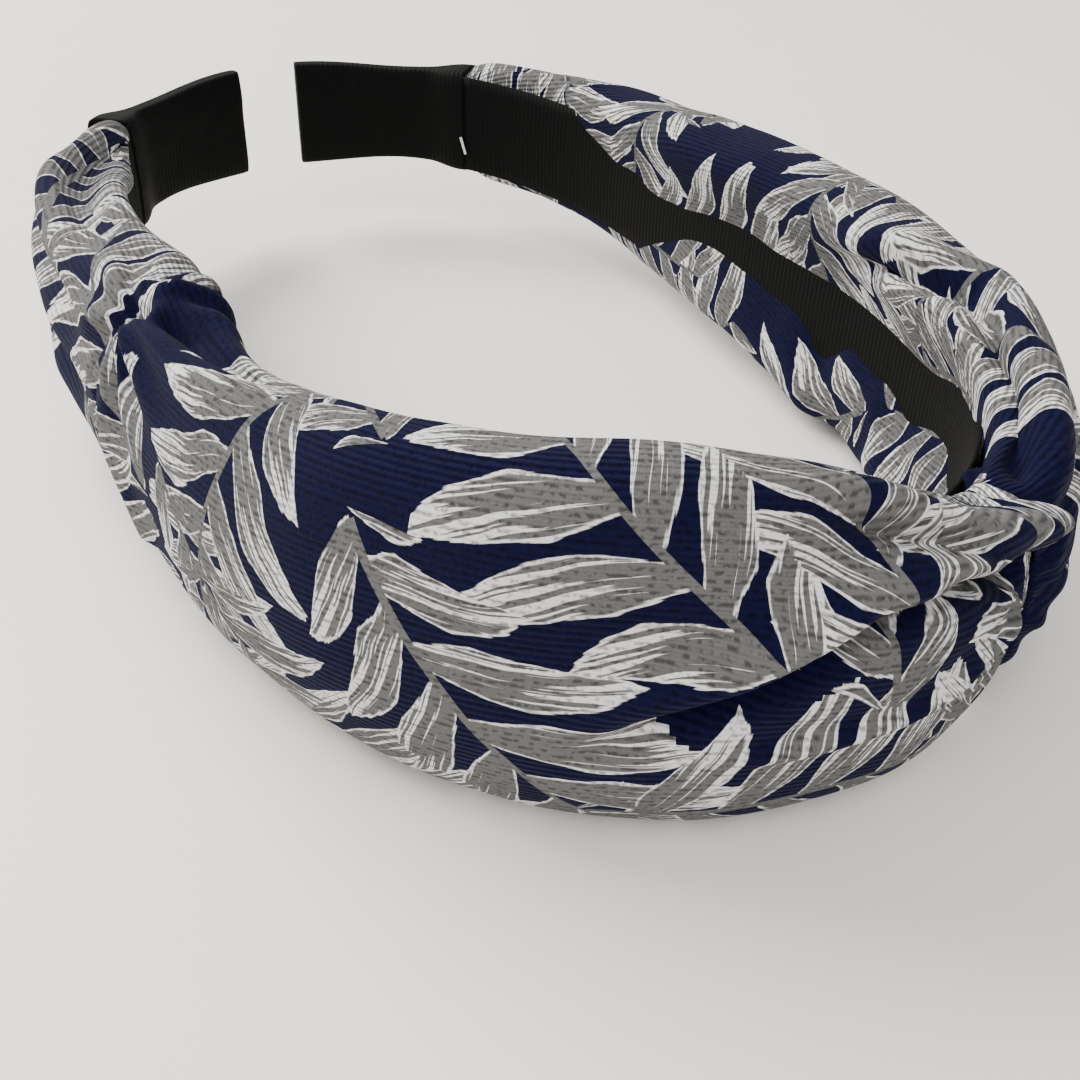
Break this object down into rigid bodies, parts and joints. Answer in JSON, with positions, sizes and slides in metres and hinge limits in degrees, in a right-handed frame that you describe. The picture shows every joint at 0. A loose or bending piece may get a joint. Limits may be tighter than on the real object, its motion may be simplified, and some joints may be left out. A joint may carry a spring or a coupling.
{
  "type": "knotted fabric headband",
  "caption": "Springy open headband: a plastic strip in printed fabric sleeves, joined by a twisted knot at the crown, with a ribbon lining and wrapped tips.",
  "frame": {"origin": "middle of the underside of the bounding box, on the surface the band lies on", "axes": "+Z across the width of the band, up as it lies on its side; -Y towards the crown and knot; +Y towards the two tips; +X towards the wearer's arm that wraps over the knot"},
  "size_m": [0.1134, 0.1732, 0.0413],
  "materials": {
    "core_plastic": "satin",
    "printed_crepe": "woven crepe, navy with pale fronds",
    "black_ribbon": "satin ribbon",
    "thread": "matte",
    "glue": "translucent"
  },
  "bodies": {
    "crown": {"left_knot_fold": "printed_crepe", "right_knot_loop": "printed_crepe", "knot_tack_stitches": "thread", "core_band": "core_plastic", "lining_ribbon": "black_ribbon", "lining_glue": "glue"},
    "left_arm": {"left_sleeve": "printed_crepe", "left_tip_wrap": "black_ribbon", "left_tip_glue": "glue", "left_seam_stitches": "thread"},
    "right_arm": {"right_sleeve": "printed_crepe", "right_tip_wrap": "black_ribbon", "right_tip_glue": "glue", "right_seam_stitches": "thread", "thread_tail": "thread"}
  },
  "joints": [
    {"name": "left_arm_spring", "type": "hinge", "parent": "crown", "child": "left_arm", "pos_m": [0.00085, -0.08843, 0.018], "axis": [0, 0, 1], "range_deg": [0, 16], "stiffness_Nm_per_rad": 0.9, "deforming": ["core_band", "lining_ribbon", "lining_glue"]},
    {"name": "right_arm_spring", "type": "hinge", "parent": "crown", "child": "right_arm", "pos_m": [0.04686, -0.06122, 0.016], "axis": [0, 0, -1], "range_deg": [0, 16], "stiffness_Nm_per_rad": 0.9, "deforming": ["core_band", "lining_ribbon", "lining_glue"]}
  ]
}
